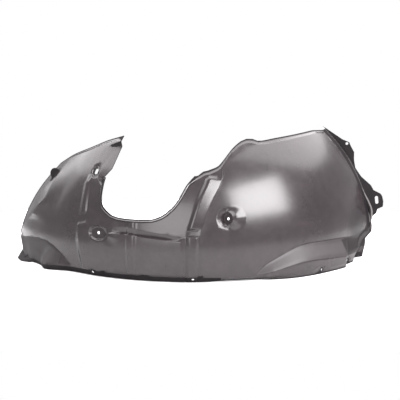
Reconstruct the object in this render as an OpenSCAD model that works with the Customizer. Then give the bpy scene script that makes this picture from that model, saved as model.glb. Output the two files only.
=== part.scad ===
// Front wheel arch liner, moulded in one sheet of black plastic.
// It stands on its outboard edge, as it does on a shelf: X runs along the car,
// Z across it from the outboard edge to the strut side, and -Y is the top of the arch.
// The sheet is drawn flat first, as u (distance round the arch) and z (distance across),
// and every point is then laid on the crowned arch by skin().

/* [Arch] */
// Radius of the arch at its outboard edge
arch_r = 446; // [430:1:470]
// Radius with which the sheet crowns over towards the strut side
crown_r = 360; // [340:5:400]
// The same radius at the front end, left in the views
front_crown_r = 240; // [225:5:280]
// Height at which the crowning starts
spring_z = 60; // [40:1:70]
// How much lower the crowning starts at the front end
front_drop = 20; // [0:1:30]
// Thickness of the sheet
wall = 2.4; // [1.8:0.1:3]

/* [Edges] */
// How far the outboard lip turns in under the sheet
lip_in = 6; // [4:0.5:10]
// How far the front end flares out over its ridge
front_flare = 31; // [20:1:36]
// Width of the raised rim round the strut cut-out
rim_w = 6; // [4:0.5:8]
// Height of that rim
rim_h = 3.5; // [2:0.5:5]

// Slope of the band between the rear screw flange and the wall
rear_slope = 0.6; // [0.4:0.05:0.8]
// How far the sheet stands out where it meets the end flange
end_out = 8; // [4:0.5:12]
// Depth of the step along the tip of the front horn
horn_step = 5; // [2:0.5:6]
// How far the small ear over the screw pocket stands up
ear_lift = 4; // [1:0.5:6]

// Depth of the dents at the clips of the outboard lip
clip_dent = 4; // [2:0.5:5]

// Thickness of the turned-out foot at its edge
foot_t = 2.2; // [1.8:0.1:3]

/* [Ribs and panels] */
// Height of the ridge along the front end
strip_h = 7; // [3:0.5:9]
// Height of the rear rib, beside the cut-out
rib_h = 5; // [3:0.5:7]
// Height of the narrow rib under the cut-out
mid_rib_h = 2.5; // [1:0.5:4]
// Height of the lower panel over the sheet round it
panel_h = 3.5; // [2:0.5:5]
// Height of the bead beside the clip slot
channel_h = 3; // [2:0.5:4]
// Height of the hooked bead behind the oval pocket
hook_h = 2; // [1:0.5:3]

// Depth of the groove along the top of the lower panel
groove_d = 3.5; // [1:0.5:4]
// Depth of the dip in the rear rib
rib_dip = 6; // [3:0.5:7]
// Depth of the recess round the clip slot
slot_recess = 2; // [1:0.5:4]
// Width of the flat land round the slot in that recess
slot_land = 5; // [4:0.5:6]
// Width of the slope round that land
slot_slope = 3; // [2:0.5:4]

/* [Oval pocket] */
// Place of the pocket round the arch
pocket_u = -234; // [-238:1:-230]
// Height of its centre
pocket_z = 104; // [100:1:108]
// Half its length
pocket_rx = 25; // [20:0.5:27]
// Half its height
pocket_rz = 18; // [14:0.5:20]
// Its depth
pocket_d = 5; // [2:0.5:7]
// Width of its sloping side
pocket_slope = 4; // [3:0.5:6]

/* [Screw pocket] */
// Place of its centre round the arch
screw_u = 80; // [76:1:84]
// Height of its centre
screw_z = 147; // [143:1:151]
// Radius of its round seat
screw_r = 12.5; // [10:0.5:14]
// Angle that the seat is turned to the front
screw_turn = 50; // [35:1:54]
// Depth of the dish inside the seat
screw_dish = 1.5; // [0.5:0.5:3]

/* [Screw and clip holes] */
// Hole in the oval pocket
pocket_hole = 7; // [5:0.5:9]
// Hole in the screw seat
screw_hole = 6.5; // [5:0.5:8]
// Holes in the outboard lip
lip_hole = 6.5; // [5:0.5:7]
// Holes in the rear screw flange
flange_hole = 6; // [4:0.5:7]
// Hole in the rear end flange
end_hole = 7; // [5:0.5:8]
// Hole in the front foot
foot_hole = 6; // [4:0.5:7]
// Width of the clip slot beside the cut-out
slot_w = 10.5; // [6:0.5:12]
// Length of that slot
slot_len = 15; // [13:0.5:17]

/* [Rear tab] */
// Width of the slot in the tab
tab_slot_w = 8; // [6:0.5:9]
// Length of the slot in the tab
tab_slot_len = 20; // [14:1:21]

/* [Front lug] */
// Width of the small lug near the front end
lug_w = 24; // [18:1:28]
// Height of the lug
lug_h = 30; // [24:1:34]
// Thickness of the lug
lug_t = 3; // [2.4:0.1:4]
// Reach of the web that carries it
lug_web = 24; // [18:1:28]

/* [Hidden] */

// Places of the holes: u, z and how far out, or x and z in the end flange
drill_len = 50;
lip_holes = [-250.5, -2.5];
lip_hole_z = 7;
lip_tips = [25, 40];
flange_holes = [310, 421];
flange_hole_z = 9.5;
foot_at = [-482, 5.5, 16.5];
foot_turn = -5.2;
foot_tip = -73.7;
slot_at = [-275, 238];
end_at = [373, 270];
tab_at = [448.5, 129.5];
tab_lean = -6;
lug_u = -440;
lug_z = 211;
lug_out = 5;
lug_turn = -25;
lug_lean = -14;

// Named rows of the net, from the outboard edge up
row_fold = 1;
row_step = 2;
row_ridge = 3;
row_ledge = 8;
row_rim = 12;
row_top = 24;
// Row at which the rim of the cut-out starts at the front
rim_from = 19;

// Guide lines of the net: [columns since the last guide, [row, u, z] ...]
guides = [
  [0, [[0, -502, 0], [1, -552, 9], [2, -573, 24], [3, -584, 38], [6, -562, 66],
       [12, -530, 123], [18, -501, 177], [24, -461, 233]]],
  [1, [[0, -478, 0], [1, -496, 8], [2, -522, 22], [3, -562, 40], [6, -546, 70],
       [12, -510, 128], [18, -480, 183], [24, -446, 241]]],
  [4, [[0, -432, 0], [1, -436, 10], [2, -452, 33], [3, -480, 55], [6, -490, 88],
       [9, -478, 112], [12, -460, 133], [15, -436, 154], [18, -426, 186], [24, -408, 259]]],
  [2, [[0, -405, 0], [1, -405, 10], [2, -407, 36], [3, -414, 60], [6, -425, 90],
       [12, -414, 136], [18, -394, 190], [24, -380, 269]]],
  [1, [[0, -382, 0], [1, -383, 12], [2, -390, 35], [3, -402, 59], [6, -404, 88],
       [12, -390, 137], [18, -372, 193], [24, -358, 276]]],
  [2, [[0, -358, 0], [1, -358, 13], [2, -360, 29], [3, -362, 46], [6, -372, 86],
       [12, -362, 137], [18, -348, 194], [24, -340, 282]]],
  [3, [[0, -314, 0], [1, -314, 13], [2, -315, 18], [3, -317, 24], [6, -326, 80],
       [12, -322, 135], [18, -318, 195], [24, -320, 289]]],
  [1, [[0, -270, 0], [1, -273, 13], [2, -277, 17], [3, -283, 24], [5, -293, 62],
       [8, -298, 97], [11, -299, 122], [12, -294, 136], [16, -295, 180], [18, -299, 212],
       [22, -306, 262], [24, -309, 293]]],
  [1, [[0, -264, 0], [1, -267, 13], [2, -271, 17], [3, -277, 24], [5, -287, 62],
       [8, -292, 97], [11, -294, 123], [12, -289, 137], [16, -290, 181], [18, -294, 213],
       [22, -301, 263], [24, -304, 295]]],
  [1, [[0, -252, 0], [1, -253, 13], [2, -255, 17], [3, -258, 24], [5, -271, 70],
       [8, -276, 102], [11, -277, 128], [12, -277, 139], [16, -281, 182], [18, -285, 214],
       [22, -284, 274], [24, -290, 300]]],
  [1, [[0, -247, 0], [1, -248, 13], [2, -250, 17], [3, -253, 24], [5, -266, 75],
       [8, -270, 104], [11, -271, 131], [12, -271, 141], [16, -275, 184], [18, -278, 214],
       [22, -271, 287], [23, -274, 290.5], [24, -281, 303]]],
  [3, [[0, -231, 0], [1, -231, 13], [2, -231, 17], [3, -231, 24], [5, -231, 77],
       [8, -231, 105], [10, -230, 130], [11, -231, 148], [12, -236, 170], [14, -241, 194],
       [16, -241, 202], [18, -242, 218], [19, -241, 228], [20, -236, 236], [21, -226, 248],
       [22, -218, 296], [23, -224, 303.5], [24, -222, 314.5]]],
  [4, [[0, -187, 0], [1, -187, 13], [2, -187, 17], [3, -187, 24], [5, -189, 74],
       [8, -196, 106], [9, -196, 110], [10, -196, 122], [11, -199, 132], [12, -204.5, 142.8]]],
  [1, [[0, -174, 0], [1, -174, 13], [2, -174, 17], [3, -174, 24], [5, -175, 73],
       [8, -178, 107], [9, -178, 111], [10, -178, 124], [11, -181, 129], [12, -186, 138.3]]],
  [1, [[0, -157, 0], [1, -157, 13], [2, -157, 17], [3, -158, 24], [5, -161, 71],
       [8, -162, 107], [9, -162, 111], [10, -162, 124], [11, -163, 128], [12, -164, 137]]],
  [1, [[0, -152, 0], [1, -152, 13], [2, -152, 17], [3, -153, 24], [5, -156, 71],
       [8, -157, 107], [9, -157, 111], [10, -157, 124], [11, -158, 128], [12, -159, 137]]],
  [1, [[0, -140, 0], [1, -140, 13], [2, -140, 17], [3, -140, 24], [5, -141, 71],
       [8, -142, 106], [9, -142, 110], [10, -142, 123], [11, -143, 128], [12, -143, 137]]],
  [1, [[0, -135, 0], [1, -135, 13], [2, -135, 17], [3, -135, 24], [5, -136, 71],
       [8, -137, 105], [9, -137, 109], [10, -137, 121], [11, -138, 127], [12, -138, 137]]],
  [2, [[0, -97, 0], [1, -97, 13], [2, -97, 17], [3, -97, 24], [5, -97, 70],
       [8, -97, 101], [9, -97, 105], [10, -97, 113], [11, -98, 126], [12, -99, 139]]],
  [3, [[0, -38, 0], [1, -38, 13], [2, -38, 17], [3, -38, 23], [5, -40, 68], [8, -43, 97],
       [9, -43, 101], [10, -46, 107], [11, -54, 135], [12, -63, 155.3], [13, -56.5, 161],
       [15, -47, 174], [18, -32, 193], [21, -18, 212], [24, -3, 232]]],
  [2, [[0, -20, 0], [1, -20, 13], [2, -20, 17], [3, -20, 23], [5, -20, 66], [8, -20, 95],
       [9, -20, 106], [10, -20, 110], [11, -18, 121], [12, -16, 126], [15, -5, 160],
       [18, 7, 193], [21, 21, 220], [22, 28, 233], [23, 30, 239], [24, 24, 249.5]]],
  [1, [[0, -12, 0], [1, -12, 13], [2, -12, 17], [3, -12, 23], [5, -12, 66], [8, -12, 95],
       [9, -12, 106], [10, -12, 110], [11, -10, 121], [12, -8, 126], [15, 3, 160],
       [18, 15, 193], [21, 31, 221], [22, 37, 234], [23, 40, 240], [24, 36, 251.5]]],
  [1, [[0, 4, 0], [1, 4, 13], [2, 4, 17], [3, 4, 23], [5, 4, 66], [8, 6, 94],
       [9, 6, 105], [10, 7, 109], [11, 8, 120], [12, 10, 126], [15, 23, 160],
       [18, 40, 193], [21, 57, 219], [22, 63, 230], [23, 65, 236], [24, 58, 257.5]]],
  [1, [[0, 10, 0], [1, 10, 13], [2, 10, 17], [3, 10, 23], [5, 10, 66], [8, 11, 94],
       [9, 11, 105], [10, 12, 109], [11, 14, 120], [12, 16, 126], [15, 28, 160],
       [18, 45, 192], [21, 62, 217], [22, 69, 228], [23, 71, 235], [24, 66, 261]]],
  [2, [[0, 34, 0], [1, 34, 12], [2, 34, 17], [3, 34, 23], [5, 35, 67], [8, 37, 95],
       [9, 38, 106], [12, 43, 146], [15, 53, 182], [18, 64, 206], [21, 74, 229],
       [24, 79, 271]]],
  [3, [[0, 78, 0], [1, 78, 10], [2, 78, 16], [3, 78, 23], [5, 78, 67], [8, 79, 96],
       [9, 79, 107], [12, 82, 148], [15, 87, 187], [18, 95, 215], [23, 102, 276],
       [24, 107, 292]]],
  [3, [[0, 122, 0], [1, 122, 8], [2, 123, 15], [3, 124, 24], [5, 124, 68], [8, 124, 97],
       [9, 124, 108], [12, 124, 150], [15, 126, 189], [18, 129, 221], [23, 137, 289],
       [24, 139, 307]]],
  [1, [[0, 142, 0], [1, 143, 6], [2, 145, 13], [3, 147, 22], [5, 146, 72], [8, 144, 99],
       [12, 144, 152], [18, 149, 225], [23, 158, 295], [24, 160, 311.5]]],
  [1, [[0, 160, 0], [1, 161, 7], [2, 163, 16], [3, 165, 32], [5, 164, 76], [8, 162, 102],
       [12, 162, 154], [18, 167, 228], [23, 178, 299], [24, 180, 310.5]]],
  [1, [[0, 178, 0], [1, 179, 9], [2, 181, 20], [3, 184, 41], [5, 183, 79], [8, 181, 105],
       [12, 181, 156], [18, 185, 230], [23, 194, 301.5], [24, 195, 307]]],
  [4, [[0, 250, 0], [1, 250, 13], [2, 254, 36], [3, 260, 69], [5, 258, 90], [8, 257, 112],
       [12, 256, 160], [18, 258, 236], [23, 262, 305.5], [24, 263, 310]]],
  [5, [[0, 337, 0], [1, 338, 12], [2, 342, 33], [3, 350, 69], [5, 355, 88], [8, 356, 110],
       [12, 356, 157], [18, 354, 236], [23, 354, 303], [24, 354, 312]]],
  [3, [[0, 392, 0], [1, 393, 12], [2, 398, 26], [3, 414, 64], [5, 426, 84], [8, 428, 106],
       [12, 428, 154], [18, 425, 233], [23, 418, 303], [24, 417, 312.5]]],
  [1, [[0, 413, 0], [1, 415, 12], [2, 420, 27], [3, 430, 62], [5, 445, 82], [8, 448, 105],
       [12, 447, 153], [18, 443, 232], [23, 434, 303], [24, 433, 312.5]]],
  [7, [[0, 447, 0], [1, 455, 13], [2, 478, 29], [3, 505, 44], [4, 545, 53], [5, 562, 64],
       [8, 565, 96], [12, 558, 143], [16, 552, 192], [20, 531, 242], [24, 503, 306]]],
];

// Edge of the strut cut-out, followed from its front end: [step along the edge, u, z]
cut_out = [
  [0, -243, 228], [1, -244, 218], [3, -243.5, 202], [5, -242.5, 186], [6, -240.5, 177.5],
  [7, -237, 168.5], [8, -231, 160.5], [9, -223.5, 154.3], [10, -214.5, 148.5], [11, -204.5, 142.8],
  [12, -186, 138.3], [13, -164, 137], [14, -159, 137], [15, -143, 137], [16, -138, 137],
  [18, -99, 139], [19, -86, 142.8], [20, -74, 148], [21, -63, 155.3], [22, -56.5, 161],
  [24, -45.6, 170.8], [27, -31, 190], [30, -17, 213], [31, -11.5, 222], [32, -4.5, 232],
  [33, 3, 240],
];

// Columns of the guides that carry a feature, from the front end to the rear
function col_of(g) = g == 0 ? 0 : col_of(g - 1) + guides[g][0];
col_flange = 3;
col_strip = col_of(2);
col_foot = col_of(3);
col_ridge = col_of(6);
col_chan = col_of(7);
col_chan_b = col_of(10);
col_notch = col_of(11);
col_hook = col_of(12);
col_mid_rib = col_of(14);
col_rise = col_of(19);
col_rib = col_of(20);
col_seat = col_of(24);
col_seat_b = col_of(26);
col_step_end = col_of(32);
col_end = col_of(34);
clip_cols = [col_notch + 1, col_rise - 4, col_rib + 3, col_seat_b + 2];

// Outline of the flat rear end flange with its tab, row by row: [x, y, z]
end_y = 309;
end_flange = [
  [411, 257, 0], [413, 262, 10], [419, 279, 23], [421, 295, 37], [438, end_y, 51],
  [439, end_y, 66], [436, end_y, 82], [440, end_y, 89], [449, end_y, 97], [451, end_y, 107],
  [464, end_y, 113], [465, end_y, 126], [462, end_y, 139], [458, end_y, 145],
  [441, end_y, 153], [434, end_y, 166], [415, end_y, 180], [404, end_y, 191],
  [395, end_y, 208], [391, end_y, 230], [391, end_y, 249], [383, end_y, 263],
  [379, end_y, 273], [364, end_y, 279], [314, end_y, 313],
];
// Foot of the bead that runs along the fold of that flange
bead_w = 3;
bead_back = 4;

function clamp01(x) = min(1, max(0, x));
function ease(x) = let (t = clamp01(x)) t * t * (3 - 2 * t);
function unit(v) = v / norm(v);

// Smooth curve through knots [t, value ...], read at t
function knot(k, i) = [for (n = [1:len(k[i]) - 1]) k[i][n]];
function slope(k, i) =
  let (a = max(0, i - 1), b = min(len(k) - 1, i + 1))
  (knot(k, b) - knot(k, a)) / (k[b][0] - k[a][0]);
function span_at(k, t, i = 0) = i >= len(k) - 2 || t < k[i + 1][0] ? i : span_at(k, t, i + 1);
function curve(k, t) =
  let (i = span_at(k, t), h = k[i + 1][0] - k[i][0], s = (t - k[i][0]) / h)
  knot(k, i) * (2 * s ^ 3 - 3 * s ^ 2 + 1) + slope(k, i) * h * (s ^ 3 - 2 * s ^ 2 + s)
  + knot(k, i + 1) * (3 * s ^ 2 - 2 * s ^ 3) + slope(k, i + 1) * h * (s ^ 3 - s ^ 2);

// The crowned arch: centre of the arch at [0, arch_r], outboard edge at z = 0
front_blend = [-190, -530];
function front(u) = clamp01((u - front_blend[0]) / (front_blend[1] - front_blend[0])) ^ 1.6;
function crown(u) = crown_r + (front_crown_r - crown_r) * front(u);
function rise(u, z) = min(0.97 * crown(u), max(0, z - spring_z + front_drop * front(u)));
function inset(u, z) = let (c = crown(u), h = rise(u, z)) c - sqrt(c * c - h * h);
function turn(u) = u / arch_r * 180 / PI;
function facing(u, z) =
  let (lift = asin(rise(u, z) / crown(u)), a = turn(u))
  [sin(a) * cos(lift), -cos(a) * cos(lift), sin(lift)];
function skin(u, z, out = 0) =
  let (a = turn(u), r = arch_r - inset(u, z))
  [r * sin(a), arch_r - r * cos(a), z] + out * facing(u, z);

// The net: u and z of each column and row
function is_left(c) = c <= col_notch;
function is_right(c) = c >= col_rise;
guide_lines = [for (g = [0:len(guides) - 1]) [col_of(g), guides[g][1]]];
function guide_set(c, r) =
  [for (g = guide_lines)
     if (r <= row_rim || (is_left(c) && is_left(g[0])) || (is_right(c) && is_right(g[0]))) g];
function on_curves(c, r) = curve([for (g = guide_set(c, r)) concat([g[0]], curve(g[1], r))], c);
function cut_step(c, r) =
  c == col_notch && within(r, row_rim, rim_from) ? rim_from - r
  : r == row_rim && c > col_notch && c <= col_rise ? rim_from - row_rim + c - col_notch
  : c == col_rise && r > row_rim ? rim_from - 2 * row_rim + col_rise - col_notch + r : -1;
function net_at(c, r) =
  cut_step(c, r) >= 0 ? curve(cut_out, cut_step(c, r))
  : r > 0 ? on_curves(c, r) : [on_curves(c, r)[0], c <= col_foot ? foot_t : 0];
function has_point(c, r) = r <= row_rim || is_left(c) || is_right(c);
net = [for (c = [0:col_end]) [for (r = [0:row_top]) has_point(c, r) ? net_at(c, r) : [0, 0]]];

// Height of each point of the net over the plain arch
function within(x, low, high) = x >= low && x <= high;
foot_out = [
  [29, 33, 30, 23, 18, 15, 15, 17], [6, 9, 12, 14, 15, 15, 16, 18], [0, 6, 8, 9, 9.5, 10, 11, 12]];
end_fold = [-5, 3];
rib_far = [0.75, 0.25];
function between(u, low, high) = ease((u - low) / (high - low));
// Places round the arch between which a form grows or fades
lip_grow = [10, 90];
lip_fade = [110, 240];
rear_grow = [135, 175];
ear_grow = [85, 125];
ear_fade = [205, 185];
function lip_depth(u) =
  u < net[col_foot + 1][0][0] - 1 ? 0
  : lip_in * (1 + 2 * between(u, lip_grow[0], lip_grow[1]))
    * (1 - between(u, lip_fade[0], lip_fade[1]));
function front_out(c, r) =
  c <= col_foot ? foot_out[r][c]
  : front_flare * ease((col_ridge + 0.6 - c) / 5.5) * (r == row_step ? 0.5 : 1);
function rear_out(c) =
  c <= col_step_end
  ? rear_slope * (net[c][row_ridge][1] - net[c][row_step][1])
    * between(net[c][0][0], rear_grow[0], rear_grow[1])
  : end_out;
function low_out(c, r) =
  (c < col_notch ? front_out(c, r) : c > col_seat_b ? rear_out(c) : 0)
  - (r == 0 ? lip_depth(net[c][r][0]) : 0);
function strip_out(c, r) =
  strip_h * ease((r - 6) / 4) * ease((row_top - r) / 7)
  * (c <= col_strip ? c / col_strip : 1 - clamp01((c - col_strip) / 3));
function in_panel(c, r) =
  r >= row_step && ((c > col_chan && c < col_hook && r <= row_ledge + 2)
    || (c >= col_hook && c < col_rib && r <= row_ledge));
function rib_out(c, r) =
  !within(c, col_rib + 1, col_rib + 2) || !within(r, row_fold, row_top - 2) ? 0
  : within(r, row_ledge + 2, row_ledge + 3) ? rib_h - rib_dip
  : rib_h * (c == col_rib + 1 ? 1 : r < row_ledge + 2 ? rib_far[0] : rib_far[1]);
function ear_out(u) =
  ear_lift * between(u, ear_grow[0], ear_grow[1]) * between(u, ear_fade[0], ear_fade[1]);
function relief(c, r) =
  (r <= row_step ? low_out(c, r) : c == col_end ? end_out * (1 - 0.6 * ease((r - 5) / 7)) : 0)
  + (c < len(end_fold) && within(r, row_fold, row_ridge) ? end_fold[c] : 0)
  + (c < col_foot + 2 ? strip_out(c, r) : 0)
  - (r == row_fold && len([for (k = clip_cols) if (k == c) 1]) > 0 ? clip_dent : 0)
  - (r == row_ledge + 1 && within(c, col_hook + 1, col_rib - 1)
     ? groove_d * ease((col_rib - c) / 5) : 0)
  + (in_panel(c, r) ? panel_h : 0)
  + (within(c, col_mid_rib + 1, col_mid_rib + 2) && r >= row_step ? mid_rib_h : 0)
  + rib_out(c, r)
  + (c == col_hook && within(r, 7, row_rim - 1) ? hook_h : 0)
  + (within(c, col_chan + 1, col_chan_b - 1) && within(r, row_rim + 1, 18) ? channel_h : 0)
  + (within(c, col_chan_b, col_notch) && r >= row_top - 1 ? horn_step * (c - col_chan_b) / 3 : 0)
  + (r == row_top ? ear_out(net[c][r][0]) : 0);

// Patches: round features set in a block of the net, as rings from the block inwards.
// Each ring is [centre u, centre z, half width, half height, height, rise per mm of u]
seat_run = screw_r * cos(screw_turn);
seat_rise = tan(screw_turn);
dish_r = 0.72;
land = [slot_w / 2 + slot_land, slot_len / 2 + slot_land];
patches = [
  [col_chan_b, col_hook, 5, 11, [
    [pocket_u, pocket_z, pocket_rx, pocket_rz, panel_h, 0],
    [pocket_u, pocket_z, pocket_rx - pocket_slope, pocket_rz - pocket_slope, panel_h - pocket_d, 0],
    [pocket_u, pocket_z, pocket_hole, pocket_hole, panel_h - pocket_d, 0]]],
  [col_seat, col_seat_b, 9, 15, [
    [screw_u + 9, screw_z, seat_run + 28, screw_r + 15, 0, 0],
    [screw_u + 2, screw_z, seat_run + 9, screw_r + 5, 0.35, 0.34],
    [screw_u, screw_z, seat_run + 1.5, screw_r + 1.5, 0, seat_rise],
    [screw_u, screw_z, seat_run, screw_r, 0, seat_rise],
    [screw_u, screw_z, seat_run * dish_r, screw_r * dish_r, -screw_dish, seat_rise]]],
  [col_chan + 1, col_notch - 1, 18, 22, [
    [slot_at[0], slot_at[1], land[0] + slot_slope, land[1] + slot_slope, 0, 0],
    [slot_at[0], slot_at[1], land[0], land[1], -slot_recess, 0]]],
];
function loop_size(p) = 2 * (p[1] - p[0] + p[3] - p[2]);
function loop_cell(p, s) =
  let (w = p[1] - p[0], h = p[3] - p[2])
  s < h ? [p[0], p[2] + s] : s < h + w ? [p[0] + s - h, p[3]]
  : s < 2 * h + w ? [p[1], p[3] - s + h + w] : [p[1] - s + 2 * h + w, p[2]];
function ring_at(p, ring, s) =
  let (b = loop_cell(p, s), q = net[b[0]][b[1]],
       a = atan2((q[1] - ring[1]) / ring[3], (q[0] - ring[0]) / ring[2]))
  [ring[0] + ring[2] * cos(a), ring[1] + ring[3] * sin(a)];
function ring_point(p, ring, s) =
  let (q = ring_at(p, ring, s)) [q[0], q[1], ring[4] + ring[5] * (q[0] - ring[0])];
function patch_points(p) = concat(
  [for (ring = p[4], s = [0:loop_size(p) - 1]) ring_point(p, ring, s)],
  [let (ring = p[4][len(p[4]) - 1]) [ring[0], ring[1], ring[4]]]);

// Rim: a raised bead along the edge of the strut cut-out
rim_path = concat(
  [for (r = [rim_from:-1:row_rim]) [col_notch, r]],
  [for (c = [col_notch + 1:col_rise]) [c, row_rim]],
  [for (r = [row_rim + 1:row_top]) [col_rise, r]]);
rim_profile = [for (a = [45, 90, 135, 160]) [rim_w / 2 * (1 - cos(a)), rim_h * sin(a)]];
function path_uz(i) = let (p = rim_path[i]) net[p[0]][p[1]];
function path_left(i) =
  let (a = path_uz(max(0, i - 1)), b = path_uz(min(len(rim_path) - 1, i + 1)), d = unit(b - a))
  [-d[1], d[0]];
function rim_fade(i) = 0.2 + 0.8 * ease((len(rim_path) - 1 - i) / 3);
function rim_point(i, step) =
  let (p = rim_path[i], s = step * rim_fade(i), q = path_uz(i) + s[0] * path_left(i))
  [q[0], q[1], relief(p[0], p[1]) + s[1]];
rim_points = [for (step = rim_profile, i = [0:len(rim_path) - 1]) rim_point(i, step)];

// Thickness at a point of the net: [inwards, down]
foot_under = [[0.9, foot_t], [2, 1.5]];
function under(c, r) = c <= col_flange && r < len(foot_under) ? foot_under[r] : [wall, 0];

// All points of the outer face, then the same points of the inner face
flat = concat(
  [for (c = [0:col_end], r = [0:row_top]) concat(net[c][r], [relief(c, r)])],
  [for (p = patches) each patch_points(p)],
  rim_points);
function crease(r) = let (q = flat[cell(col_end, r)]) skin(q[0], q[1], q[2]);
function flange_root(r) =
  let (a = crease(r), b = end_flange[r]) [a[0] + bead_w, min(b[1], a[1] + bead_back * 10), a[2]];
back = [0, wall, 0];
flange_points = concat([for (r = [0:row_top]) flange_root(r)], end_flange);
outer = concat([for (q = flat) skin(q[0], q[1], q[2])], flange_points);
inner = concat(
  [for (i = [0:len(flat) - 1])
     let (q = flat[i], c = floor(i / (row_top + 1)), t = under(c, i - cell(c, 0)))
     skin(q[0], q[1] - t[1], q[2] - t[0]) + (c == col_end ? back : [0, 0, 0])],
  [for (p = flange_points) p + back]);

// Numbers of the points
function cell(c, r) = c * (row_top + 1) + r;
patch_start = cell(col_end, row_top) + 1;
function sum(v, n) = n <= 0 ? 0 : v[n - 1] + sum(v, n - 1);
patch_sizes = [for (p = patches) loop_size(p) * len(p[4]) + 1];
function patch_id(n, ring, s) =
  let (p = patches[n], b = loop_cell(p, s % loop_size(p)))
  ring == 0 ? cell(b[0], b[1])
  : patch_start + sum(patch_sizes, n) + (ring - 1) * loop_size(p) + s % loop_size(p);
function patch_centre(n) = patch_start + sum(patch_sizes, n + 1) - 1;
rim_start = patch_start + sum(patch_sizes, len(patches));
function rim_id(i, ring) =
  ring == 0 ? cell(rim_path[i][0], rim_path[i][1]) : rim_start + (ring - 1) * len(rim_path) + i;
flange_start = rim_start + len(rim_points);
function point_id(c, r) =
  c > col_end ? flange_start + (c - col_end - 1) * (row_top + 1) + r : cell(c, r);

// Faces of the outer side, clockwise seen from outside
function in_patch(c, r) =
  len([for (p = patches) if (c >= p[0] && c < p[1] && r >= p[2] && r < p[3]) 1]) > 0;
function has_cell(c, r) =
  within(c, 0, col_end + 1) && within(r, 0, row_top - 1)
  && (r < row_rim || c < col_notch || c >= col_rise);
net_faces = [for (c = [0:col_end + 1], r = [0:row_top - 1]) if (has_cell(c, r) && !in_patch(c, r))
  [point_id(c, r), point_id(c, r + 1), point_id(c + 1, r + 1), point_id(c + 1, r)]];
patch_faces = [for (n = [0:len(patches) - 1])
  let (rings = len(patches[n][4]), size = loop_size(patches[n]))
  each concat(
    [for (k = [0:rings - 1], s = [0:size - 1])
       [patch_id(n, k, s), patch_id(n, k, s + 1), patch_id(n, k + 1, s + 1), patch_id(n, k + 1, s)]],
    [for (s = [0:size - 1]) [patch_id(n, rings, s), patch_id(n, rings, s + 1), patch_centre(n)]])];
rim_last = len(rim_path) - 1;
rim_rings = len(rim_profile);
rim_faces = [for (k = [0:rim_rings - 1], i = [0:rim_last - 1])
  [rim_id(i + 1, k), rim_id(i, k), rim_id(i, k + 1), rim_id(i + 1, k + 1)]];

// Free edges of the outer side, in the direction in which its faces run
function on_rim(a, b) =
  len([for (i = [0:rim_last - 1]) if (rim_id(i, 0) == a && rim_id(i + 1, 0) == b) 1]) > 0;
net_edges = [for (c = [0:col_end + 1], r = [0:row_top - 1]) if (has_cell(c, r))
  let (p = [point_id(c, r), point_id(c, r + 1), point_id(c + 1, r + 1), point_id(c + 1, r)])
  each concat(
    has_cell(c - 1, r) ? [] : [[p[0], p[1]]],
    has_cell(c, r + 1) ? [] : [[p[1], p[2]]],
    has_cell(c + 1, r) ? [] : [[p[2], p[3]]],
    has_cell(c, r - 1) ? [] : [[p[3], p[0]]])];
rim_edges = concat(
  [for (k = [0:rim_rings - 1]) each [[rim_id(0, k), rim_id(0, k + 1)],
                                    [rim_id(rim_last, k + 1), rim_id(rim_last, k)]]],
  [for (i = [0:rim_last - 1]) [rim_id(i, rim_rings), rim_id(i + 1, rim_rings)]]);
edges = concat([for (e = net_edges) if (!on_rim(e[0], e[1])) e], rim_edges);

faces_out = concat(net_faces, patch_faces, rim_faces);
shift = len(outer);
all_faces = concat(
  faces_out,
  [for (f = faces_out) [for (i = [len(f) - 1:-1:0]) f[i] + shift]],
  [for (e = edges) [e[1], e[0], e[0] + shift, e[1] + shift]]);

// Origin: middle of the part on the surface that it stands on
xs = [for (p = outer) p[0]];
ys = [for (p = concat(outer, inner)) p[1]];
middle = [(min(xs) + max(xs)) / 2, (min(ys) + max(ys)) / 2, 0];

// One flat ring of the sheet
module sheet() {
  polyhedron(points = concat(outer, inner), faces = all_faces, convexity = 10);
}

// Frame square to the sheet at u, z: turn swings it round the arch, tip downwards
module on_sheet(u, z, out = 0, turn = 0, tip = 0) {
  n = facing(u, z);
  translate(skin(u, z, out))
    rotate([0, acos(n[2]) + tip, atan2(n[1], n[0]) + turn])
      children();
}

// Tool for a round hole
module drill(d) {
  cylinder(h = drill_len, d = d, center = true, $fn = 48);
}

// Tool for a long hole
module long_drill(w, l) {
  linear_extrude(drill_len, center = true)
    offset(r = w / 2 - 0.01, $fn = 32)
      square([l - w, 0.02], center = true);
}

// Small lug near the front end, a plate on a web
module lug() {
  translate(skin(lug_u, lug_z, lug_out))
    rotate([lug_lean, 0, lug_turn]) {
      rotate([90, 0, 0])
        linear_extrude(lug_t, center = true) {
          circle(d = lug_w, $fn = 48);
          polygon([[-lug_w / 2, 0], [-lug_w * 0.2, lug_w / 2 - lug_h], [lug_w / 2, 0]]);
        }
      translate([-lug_t / 2, 0, -lug_w / 2])
        cube([lug_t, lug_web, lug_w * 0.6]);
    }
}

module liner() {
  color([0.1, 0.1, 0.1])
    translate(-middle)
      difference() {
        union() {
          sheet();
          lug();
        }
        on_sheet(pocket_u, pocket_z) drill(pocket_hole);
        on_sheet(screw_u, screw_z, 0, -screw_turn) drill(screw_hole);
        for (i = [0, 1])
          on_sheet(lip_holes[i], lip_hole_z, 0, 0, lip_tips[i]) drill(lip_hole);
        for (u = flange_holes)
          on_sheet(u, flange_hole_z) drill(flange_hole);
        on_sheet(foot_at[0], foot_at[1], foot_at[2], foot_turn, foot_tip) drill(foot_hole);
        on_sheet(slot_at[0], slot_at[1]) long_drill(slot_w, slot_len);
        translate([end_at[0], end_y, end_at[1]])
          rotate([90, 0, 0]) drill(end_hole);
        translate([tab_at[0], end_y, tab_at[1]])
          rotate([90, 90 + tab_lean, 0]) long_drill(tab_slot_w, tab_slot_len);
      }
}

liner();
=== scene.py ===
"""Wheel arch liner: looks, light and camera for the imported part."""
import math

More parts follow.
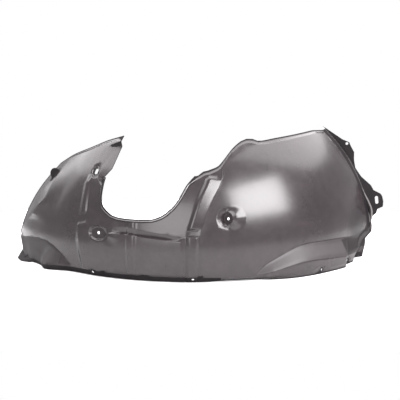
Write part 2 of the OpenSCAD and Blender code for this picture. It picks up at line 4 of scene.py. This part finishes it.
import bmesh
import bpy
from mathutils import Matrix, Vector


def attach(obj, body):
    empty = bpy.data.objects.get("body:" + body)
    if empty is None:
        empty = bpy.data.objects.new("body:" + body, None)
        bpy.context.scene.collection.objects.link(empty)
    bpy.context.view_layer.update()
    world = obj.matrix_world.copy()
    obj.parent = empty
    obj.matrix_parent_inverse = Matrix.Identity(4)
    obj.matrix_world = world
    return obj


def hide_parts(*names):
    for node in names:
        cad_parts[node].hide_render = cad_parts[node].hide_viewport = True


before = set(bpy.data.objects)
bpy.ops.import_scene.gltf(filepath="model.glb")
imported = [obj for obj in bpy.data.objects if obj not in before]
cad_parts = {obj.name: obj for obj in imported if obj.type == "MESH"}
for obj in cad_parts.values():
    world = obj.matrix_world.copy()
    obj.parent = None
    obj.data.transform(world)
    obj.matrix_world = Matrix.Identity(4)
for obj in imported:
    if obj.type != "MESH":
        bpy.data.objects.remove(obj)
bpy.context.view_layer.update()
scene = bpy.context.scene

# Lengths and places on the part are in metres, in the part's own frame

# Middle of the lug, the rear lower corner where painted shade is centred, the screw's pocket and
# the oval pocket
LUG = Vector((-0.3508, 0.0620, 0.2138))
REAR_CORNER = Vector((0.3820, 0.0800, 0.0800))
SCREW = Vector((0.0598, -0.1463, 0.147))
OVAL = Vector((-0.2385, -0.0991, 0.1037))
# The strut cut-out, the front arm's outer edge, and its plain side and its step near the tip
CUT_OUT = Vector((-0.1250, -0.1500, 0.1940))
FRONT_EDGE = Vector((-0.4200, 0.0900, 0.1200))
HORN_SIDE = Vector((-0.2000, -0.0450, 0.2620))
HORN_STEP = Vector((-0.1990, -0.0245, 0.2990))

# Axis of the arch, x and y, and its radius
AXIS = (-0.0179, 0.2821)
ARCH = 0.446
# The end flange's fold: how far round the arch it lies low down, and how it bends to the front
# over FOLD_SPAN, from the height of FOLD_START up
FOLD_LOW, FOLD_BEND = 0.565, 0.055
FOLD_START, FOLD_SPAN, FOLD_POWER = 0.1, 0.2, 1.5
# The ridge over the foot at the front end: its height up to RIDGE_END round the arch, how fast it
# drops after that, and how fast it drops before RIDGE_START
RIDGE_TOP, RIDGE_END, RIDGE_DROP = 0.060, -0.4, 0.4
RIDGE_START, RIDGE_TIP_DROP = -0.416, 0.11
# The lip: its height, and how far round the arch its blasted part goes, which is darker also as
# painted shade
LIP_HEIGHT, LIP_BLASTED_AND_SHADE = 0.012, 0.06
# The crescent's slope: where it starts and ends round the arch, and its lowest and highest points
CRESCENT_START, CRESCENT_END, CRESCENT_LOW, CRESCENT_HIGH = 0.15, 0.43, 0.02, 0.066

# Colours: plastic and the haze on it, blasted plastic and its haze, which also serve as painted
# shade, and the painted highlights along the end flange's fold and along the crest of the hem
PLASTIC, HAZY_PLASTIC = (0.015, 0.012, 0.013, 1), (0.027, 0.021, 0.023, 1)
BLASTED_AND_SHADE, HAZY_BLASTED_AND_SHADE = (0.008, 0.007, 0.008, 1), (0.015, 0.013, 0.014, 1)
FOLD_HIGHLIGHT, HEM_HIGHLIGHT = (0.13, 0.122, 0.122, 1), (0.16, 0.152, 0.152, 1)

# Finishes in the order of their slots: material, roughness, how much of it is the duller plastic,
# and whether it has the outer side's painted shade and darker lug
FINISHES = (
    ("liner_smooth", 0.15, 0.0, True),
    ("liner_grained", 0.40, 1.0, True),
    ("liner_satin", 0.40, 0.0, True),
    ("liner_half_dull", 0.40, 0.48, True),
    ("liner_inside", 0.30, 0.0, False),
)
SMOOTH, GRAINED, SATIN, HALF_DULL, INSIDE = range(len(FINISHES))

# Angle in degrees over which a fold is kept, and how firmly; on the ridge a slighter one is kept
FOLDS = ((24, 1.0), (14, 0.8), (8, 0.5))
RIDGE_FOLD = 2
# Angle in degrees over which a fold is shaded as a sharp edge
CRISP = 60
SUBDIVISIONS = 2
# A face of a trimmed edge has a side shorter than this. It turns to two neighbours by more than
# the one angle in degrees, or to one of them by more than the other
NARROW, CORNER, TURN_BACK = 0.004, 65, 120
# How far round the screw's pocket and round the oval pocket no edge counts as trimmed
SCREW_RING, OVAL_RING = 0.06, 0.03
# How far from a trimmed edge near_edge falls to 0, and the distance that a vertex starts with
EDGE_REACH, FAR = 0.012, 0.05


class Link:
    """A shader value that can be added and multiplied like a number."""

    def __init__(self, tree, socket):
        self.tree, self.socket = tree, socket

    def math(self, kind, other=None):
        node = self.tree.nodes.new("ShaderNodeMath")
        node.operation = kind
        feed(self.tree, self, node.inputs[0])
        if other is not None:
            feed(self.tree, other, node.inputs[1])
        return Link(self.tree, node.outputs[0])

    def __add__(self, other):
        return self.math("ADD", other)

    def __mul__(self, other):
        return self.math("MULTIPLY", other)

    def __sub__(self, other):
        return self.math("SUBTRACT", other)

    def __rsub__(self, other):
        return (self * -1) + other

    __radd__ = __add__
    __rmul__ = __mul__

    def ramp(self, low, high):
        """0 below low, 1 above high, smooth between."""
        node = self.tree.nodes.new("ShaderNodeMapRange")
        node.interpolation_type = "SMOOTHSTEP"
        feed(self.tree, self, node.inputs["Value"])
        node.inputs["From Min"].default_value = low
        node.inputs["From Max"].default_value = high
        return Link(self.tree, node.outputs["Result"])

    def band(self, low, high, blur):
        """1 between two limits, 0 outside them, smooth over the blur on each side."""
        rise = self.ramp(low - blur, low + blur)
        return rise * (1 - self.ramp(high - blur, high + blur))


def feed(tree, value, socket):
    """Puts a number, a colour or another socket into a socket."""
    if isinstance(value, Link):
        tree.links.new(value.socket, socket)
    elif isinstance(value, bpy.types.NodeSocket):
        tree.links.new(value, socket)
    else:
        socket.default_value = value


class Shader:
    """One material with its Principled shader and object coordinates."""

    def __init__(self, name):
        self.material = bpy.data.materials.new(name)
        self.material.use_nodes = True
        self.tree = self.material.node_tree
        self.surface = self.tree.nodes["Principled BSDF"]
        self.place = self.tree.nodes.new("ShaderNodeTexCoord").outputs["Object"]
        axes = self.node("ShaderNodeSeparateXYZ", Vector=self.place).outputs
        self.x, self.y, self.z = (Link(self.tree, axis) for axis in axes)

    def node(self, kind, **inputs):
        node = self.tree.nodes.new(kind)
        for key, value in inputs.items():
            feed(self.tree, value, node.inputs[key.replace("_", " ")])
        return node

    def attribute(self, name):
        node = self.node("ShaderNodeAttribute")
        node.attribute_name = name
        return Link(self.tree, node.outputs["Fac"])

    def noise(self, scale, detail=3.0, rough=0.55):
        """Noise of about 1/scale metres a feature."""
        node = self.node("ShaderNodeTexNoise", Vector=self.place, Scale=scale, Detail=detail,
                         Roughness=rough)
        return Link(self.tree, node.outputs[0])

    def mix_colour(self, factor, first, second):
        """The first colour where the factor is 0, the second where it is 1."""
        node = self.tree.nodes.new("ShaderNodeMix")
        node.data_type = "RGBA"
        # Sockets 0, 6 and 7, and output 2, are the ones that a colour mix uses
        feed(self.tree, factor, node.inputs[0])
        feed(self.tree, first, node.inputs[6])
        feed(self.tree, second, node.inputs[7])
        return node.outputs[2]

    def bump(self, height, strength, distance, normal=None):
        node = self.node("ShaderNodeBump", Height=height, Strength=strength, Distance=distance)
        if normal:
            feed(self.tree, normal, node.inputs["Normal"])
        return node.outputs[0]

    def mix_with(self, other, factor):
        """Shows the other shader where the factor is 1."""
        mixed = self.node("ShaderNodeMixShader")
        feed(self.tree, factor, mixed.inputs[0])
        feed(self.tree, self.surface.outputs[0], mixed.inputs[1])
        feed(self.tree, other.outputs[0], mixed.inputs[2])
        feed(self.tree, mixed.outputs[0], self.tree.nodes["Material Output"].inputs["Surface"])

    def set(self, **inputs):
        for key, value in inputs.items():
            feed(self.tree, value, self.surface.inputs[key.replace("_", " ")])


def near(s, place, radius, blur=0.003):
    """1 within a radius of a place."""
    x, y, z = s.x - place[0], s.y - place[1], s.z - place[2]
    return 1 - (x * x + y * y + z * z).math("SQRT").ramp(radius - blur, radius)


def along_arch(s):
    """Distance round the arch from its top, to the rear."""
    return (s.x - AXIS[0]).math("ARCTAN2", AXIS[1] - s.y) * ARCH


def past_fold(s):
    """Distance past the fold of the end flange."""
    bend = ((s.z - FOLD_START) * (1 / FOLD_SPAN)).math("MAXIMUM", 0.0).math("POWER", FOLD_POWER)
    return along_arch(s) - (FOLD_LOW - FOLD_BEND * bend)


def last_strip(s):
    """1 on the last strip of the sheet before the end flange, where painted shade darkens it."""
    return past_fold(s).ramp(-0.018, -0.014) * s.z.ramp(0.055, 0.065)


def behind_crescent(s):
    """1 on the low part of the sheet between the crescent and the end flange, where painted shade
    darkens it.
    """
    return along_arch(s).ramp(0.398, 0.406) * s.z.band(0.021, 0.063, blur=0.003)


def dull_plastic(s):
    """Black plastic where nothing is polished, with a painted highlight, a light line, on the end
    flange's fold.
    """
    haze = s.noise(20, 4, 0.6)
    past = past_fold(s)
    # Painted highlight: a thin light line along the end flange's fold
    on_fold = past.ramp(-0.0006, -0.0001) * (1 - past.ramp(0.0005, 0.0010)) * s.z.ramp(0.05, 0.06)
    blasted = s.mix_colour(haze, BLASTED_AND_SHADE, HAZY_BLASTED_AND_SHADE)
    dull_and_shade = s.node("ShaderNodeBsdfPrincipled", Roughness=0.6 + haze * 0.14,
                  Base_Color=s.mix_colour(on_fold, blasted, FOLD_HIGHLIGHT),
                  Normal=s.bump(s.noise(900, 3, 0.6), strength=0.3, distance=0.0005))
    dull_and_shade.inputs["IOR"].default_value = 1.45
    dull_and_shade.inputs["Specular IOR Level"].default_value = 0.11
    return dull_and_shade


def trimmed_edges(s):
    """How near a trimmed edge is, how dark and rough it is there, and the painted highlight on
    the crest of the cut-out's hem.

    The edges are rougher where trimmed and darker there, a painted dark outline. The front arm's
    outer edge has it over all of the reach, and the hem round the cut-out has two lines of
    painted shade with a painted highlight on its crest between them."""
    nearness = s.attribute("near_edge") * (1 - near(s, HORN_SIDE, radius=0.055, blur=0.012))
    in_rim = near(s, CUT_OUT, radius=0.128, blur=0.01)
    # Painted shade: two dark lines along the hem round the cut-out, beside its crest
    rim_shade_lines = nearness.ramp(0.62, 0.68) + nearness.band(0.10, 0.36, blur=0.03)
    # Along the trimmed edges a darker, rougher band: the trimmed edge's finish and a painted dark
    # outline
    trim_and_shade = nearness.ramp(0.64, 0.82) * (1 - in_rim) + rim_shade_lines * in_rim
    # The front arm's outer edge has the painted dark outline over all of the reach
    front = nearness.ramp(0.0, 0.35) * near(s, FRONT_EDGE, radius=0.14, blur=0.03)
    # Painted highlight: a light line along the hem's crest
    crest = nearness.band(0.40, 0.63, blur=0.03) * in_rim
    return nearness, trim_and_shade.math("MAXIMUM", front), crest


def sheet_plastic(name, base_rough, dullness, outside):
    """Black sheet, as the tool leaves it, a little wavy and hazy, with painted shade and painted
    highlights in places.
    """
    s = Shader(name)
    nearness, edge, crest = trimmed_edges(s)
    haze = s.noise(9, 4, 0.6)
    dust = s.noise(55, 5, 0.65)
    shade = (haze * 0.6 + dust * 0.4).ramp(0.3, 0.75) * (1 - edge)
    plastic = s.mix_colour(shade, PLASTIC, HAZY_PLASTIC)
    wavy = s.bump(s.noise(14, 2), strength=0.12, distance=0.004)
    peel = s.bump(s.noise(300, 2), strength=0.05, distance=0.0003, normal=wavy)
    rolled = s.bump(1 - nearness.ramp(0.1, 0.65), strength=0.8, distance=0.003, normal=peel)
    # The hem's crest takes the painted highlight colour
    s.set(Base_Color=s.mix_colour(crest, plastic, HEM_HIGHLIGHT), Normal=rolled,
          Roughness=base_rough + haze * 0.09 + dust * 0.06 + edge * 0.35)
    s.surface.inputs["IOR"].default_value = 1.5
    # Places given the duller, darker plastic: the trimmed-edge band, and as painted shade the
    # last strip before the end flange, the low sheet behind the crescent and the rear lower
    # corner; the lug has it as its finish
    dull_and_shade = edge
    if outside:
        for place in (last_strip(s), behind_crescent(s) * 0.8, near(s, LUG, radius=0.016),
                      near(s, REAR_CORNER, radius=0.080, blur=0.060) * 0.7):
            dull_and_shade = dull_and_shade.math("MAXIMUM", place)
    s.mix_with(dull_plastic(s), dull_and_shade * (1 - dullness) + dullness)
    return s.material


def round_the_arch(point):
    """Distance round the arch from its top, to the rear."""
    return ARCH * math.atan2(point.x - AXIS[0], AXIS[1] - point.y)


def outward(point):
    """Level direction from the arch's axis to a point."""
    return Vector((point.x - AXIS[0], point.y - AXIS[1], 0)).normalized()


def end_fold(height):
    """Distance round the arch of the fold at the end flange."""
    return FOLD_LOW - FOLD_BEND * max(0, (height - FOLD_START) / FOLD_SPAN) ** FOLD_POWER


def ridge_height(along):
    """Height of the ridge over the foot at the front end."""
    return (RIDGE_TOP - RIDGE_DROP * max(0, along - RIDGE_END)
            - RIDGE_TIP_DROP * max(0, RIDGE_START - along))


def is_on_ridge(point):
    along = round_the_arch(point)
    return along < -0.33 and abs(point.z - ridge_height(along)) < 0.004


def is_front_panel(point):
    """True on the flat panel under the ridge."""
    along = round_the_arch(point)
    return along < -0.345 and LIP_HEIGHT <= point.z < ridge_height(along) - 0.003


def is_free_edge(face):
    """True on the narrow face where the sheet is trimmed, which the pockets' rings aren't."""
    centre = face.calc_center_median()
    if (centre - SCREW).length < SCREW_RING or (centre - OVAL).length < OVAL_RING:
        return False
    if min(edge.calc_length() for edge in face.edges) >= NARROW:
        return False
    turns = [math.degrees(edge.calc_face_angle(0)) if len(edge.link_faces) == 2 else 90
             for edge in face.edges]
    return sum(turn > CORNER for turn in turns) > 1 or max(turns) > TURN_BACK


def is_end_flange(centre, normal):
    """True on the flange that stands across the rear end of the sheet."""
    return centre.x > 0.3 and centre.y > 0.085 and abs(normal.y) > 0.7


def is_crescent_slope(centre, normal):
    """True on the slope that the crescent turns up."""
    return (CRESCENT_LOW < centre.z < CRESCENT_HIGH and normal.z > 0.3
            and CRESCENT_START < round_the_arch(centre) < CRESCENT_END)


def finish_of(face):
    """Blasted are the front two thirds of the lip, the foot, the lug, the end flange and the
    trimmed edges; on the lip this darker finish is also painted shade, and on the edges a painted
    dark outline.
    The step near the front arm's tip is made darker on its faces that don't face up. Satin is the
    crescent's slope."""
    centre, normal = face.calc_center_median(), face.normal
    # The front of the lip is blasted, and its darkness is also painted shade under the turned-in
    # lip
    if centre.z < LIP_HEIGHT and round_the_arch(centre) < LIP_BLASTED_AND_SHADE:
        return GRAINED
    # The trimmed edges' darker finish is also a painted dark outline
    if is_free_edge(face) or is_end_flange(centre, normal) or (centre - LUG).length < 0.012:
        return GRAINED
    if normal.dot(outward(centre)) < -0.25:
        return INSIDE
    if is_crescent_slope(centre, normal):
        return SATIN
    if is_front_panel(centre):
        return HALF_DULL
    # Faces of the step near the front arm's tip that don't face up are made darker
    if (centre - HORN_STEP).length < 0.022 and normal.z < 0.45:
        return GRAINED
    return SMOOTH


def firmness(turn, on_ridge):
    """How firmly a fold of so many degrees is kept."""
    if on_ridge and turn > RIDGE_FOLD:
        return 1.0
    return next((firm for least, firm in FOLDS if turn > least), 0.0)


def spread_flare(bm):
    """Eases the sheet out towards its end flange over the last 50 mm, not the last 16."""
    start, stop, most = 0.052, 0.008, 0.006
    for vert in bm.verts:
        low = min(1, max(0, (vert.co.z - 0.03) / 0.03))
        gap = end_fold(vert.co.z) - round_the_arch(vert.co)
        if low > 0 and stop < gap < start:
            share = ((start - gap) / (start - stop)) ** 2
            vert.co += most * share * low * (1 - min(1, vert.co.z / 0.25)) * outward(vert.co)


def measure_edge(bm):
    """Stores in near_edge 1 at a trimmed edge, falling to 0 at the reach from it."""
    layer = bm.verts.layers.float.new("near_edge")
    gap = {vert: FAR for vert in bm.verts}
    for face in bm.faces:
        if is_free_edge(face):
            gap.update((vert, 0.0) for vert in face.verts)
    for _ in range(6):
        for edge in bm.edges:
            first, second = edge.verts
            length = edge.calc_length()
            gap[first] = min(gap[first], gap[second] + length)
            gap[second] = min(gap[second], gap[first] + length)
    for vert in bm.verts:
        vert[layer] = 1 - gap[vert] / EDGE_REACH


def rounded_liner(source):
    """The moulded sheet with the small radii that its tool leaves on every fold."""
    mesh = source.data.copy()
    mesh.name = "liner_moulded"
    bm = bmesh.new()
    bm.from_mesh(mesh)
    bmesh.ops.remove_doubles(bm, verts=bm.verts, dist=2e-5)
    bmesh.ops.join_triangles(bm, faces=bm.faces, cmp_seam=False, cmp_sharp=False, cmp_uvs=False,
                             cmp_vcols=False, cmp_materials=False,
                             angle_face_threshold=math.radians(24),
                             angle_shape_threshold=math.radians(50))
    spread_flare(bm)
    bm.normal_update()
    crease = bm.edges.layers.float.get("crease_edge") or bm.edges.layers.float.new("crease_edge")
    for edge in bm.edges:
        turn = math.degrees(edge.calc_face_angle(math.pi))
        edge[crease] = firmness(turn, all(is_on_ridge(vert.co) for vert in edge.verts))
        edge.smooth = turn < CRISP
    measure_edge(bm)
    for face in bm.faces:
        face.smooth = True
        face.material_index = finish_of(face)
    mesh.materials.clear()
    for finish in FINISHES:
        mesh.materials.append(sheet_plastic(*finish))
    bm.to_mesh(mesh)
    bm.free()
    piece = bpy.data.objects.new("liner_moulded", mesh)
    scene.collection.objects.link(piece)
    rounding = piece.modifiers.new("rounding", "SUBSURF")
    rounding.levels = rounding.render_levels = SUBDIVISIONS
    rounding.boundary_smooth = "PRESERVE_CORNERS"
    return piece


liner = rounded_liner(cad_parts["liner"])
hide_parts("liner")
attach(liner, "root")

# Floor
floor_mesh = bpy.data.meshes.new("floor")
bm = bmesh.new()
bmesh.ops.create_circle(bm, cap_ends=True, segments=96, radius=0.8)
bm.to_mesh(floor_mesh)
bm.free()
floor = bpy.data.objects.new("floor", floor_mesh)
scene.collection.objects.link(floor)
pale = Shader("floor_pale")
pale.set(Base_Color=(0.7, 0.7, 0.7, 1), Roughness=0.9)
pale.surface.inputs["Specular IOR Level"].default_value = 0.0
floor_mesh.materials.append(pale.material)

# Studio: white behind the part for the camera, greyer round it for what the part reflects
ROOM = 0.7
world = bpy.data.worlds.new("studio")
scene.world = world
world.use_nodes = True
sky = world.node_tree.nodes["Background"]
sky.inputs["Color"].default_value = (1, 1, 1, 1)
path = world.node_tree.nodes.new("ShaderNodeLightPath")
level = Link(world.node_tree, path.outputs["Is Camera Ray"]) * (1 - ROOM) + ROOM
feed(world.node_tree, level, sky.inputs["Strength"])


def softbox(name, place, aim, width, height, radiance, shape="RECTANGLE"):
    light = bpy.data.lights.new(name, "AREA")
    light.shape = shape
    light.size, light.size_y = width, height
    area = width * height * (math.pi / 4 if shape == "ELLIPSE" else 1)
    light.energy = radiance * math.pi * area
    light.color = (1, 0.98, 0.99)
    box = bpy.data.objects.new(name, light)
    box.location = place
    box.rotation_euler = (Vector(place) - Vector(aim)).to_track_quat("Z", "Y").to_euler()
    scene.collection.objects.link(box)


def direction(azimuth, elevation):
    """Way from the part, turned right from the camera's side and up."""
    turn, lift = math.radians(azimuth), math.radians(elevation)
    level_way = Vector((math.sin(turn), -math.cos(turn), 0))
    return level_way * math.cos(lift) + Vector((0, 0, math.sin(lift)))


# The key's reflection is the bright patch behind the screw pocket
bright_patch = Vector((0.14, -0.12, 0.18))
front_arm = Vector((-0.36, 0.04, 0.18))
softbox("key", bright_patch + 2.4 * direction(46, 27), bright_patch,
        width=1.65, height=1.15, radiance=20)
softbox("ceiling", (0.05, 1.2, 1.65), (0.05, 1.2, 0),
        width=6.2, height=3.8, radiance=5.2, shape="ELLIPSE")
softbox("front", 4.7 * direction(-16, 15), (0, 0, 0.15),
        width=2.8, height=2.4, radiance=6)
softbox("left", front_arm + 2.2 * direction(-125, 18), front_arm,
        width=1.6, height=1.0, radiance=2.0)

# Camera at the photograph's viewing angle. It is aimed a little right of and above its target,
# which puts the part where it lies in the picture
CAMERA_DISTANCE, CAMERA_TILT, LENS = 4.0, math.radians(12), 152.54
AIM_RIGHT, AIM_UP = 0.01416, 0.01274
camera_data = bpy.data.cameras.new("camera")
camera = bpy.data.objects.new("camera", camera_data)
scene.collection.objects.link(camera)
scene.camera = camera
back, up = math.cos(CAMERA_TILT), math.sin(CAMERA_TILT)
target = Vector((-0.01788, -0.01391, 0.150))
camera.location = target + CAMERA_DISTANCE * Vector((0, -back, up))
aim = target + Vector((AIM_RIGHT, AIM_UP * up, AIM_UP * back))
camera.rotation_euler = (aim - camera.location).to_track_quat("-Z", "Y").to_euler()
camera_data.sensor_width = 36
camera_data.lens = LENS
camera_data.clip_end = 100

scene.view_settings.view_transform = "Standard"
scene.view_settings.look = "None"
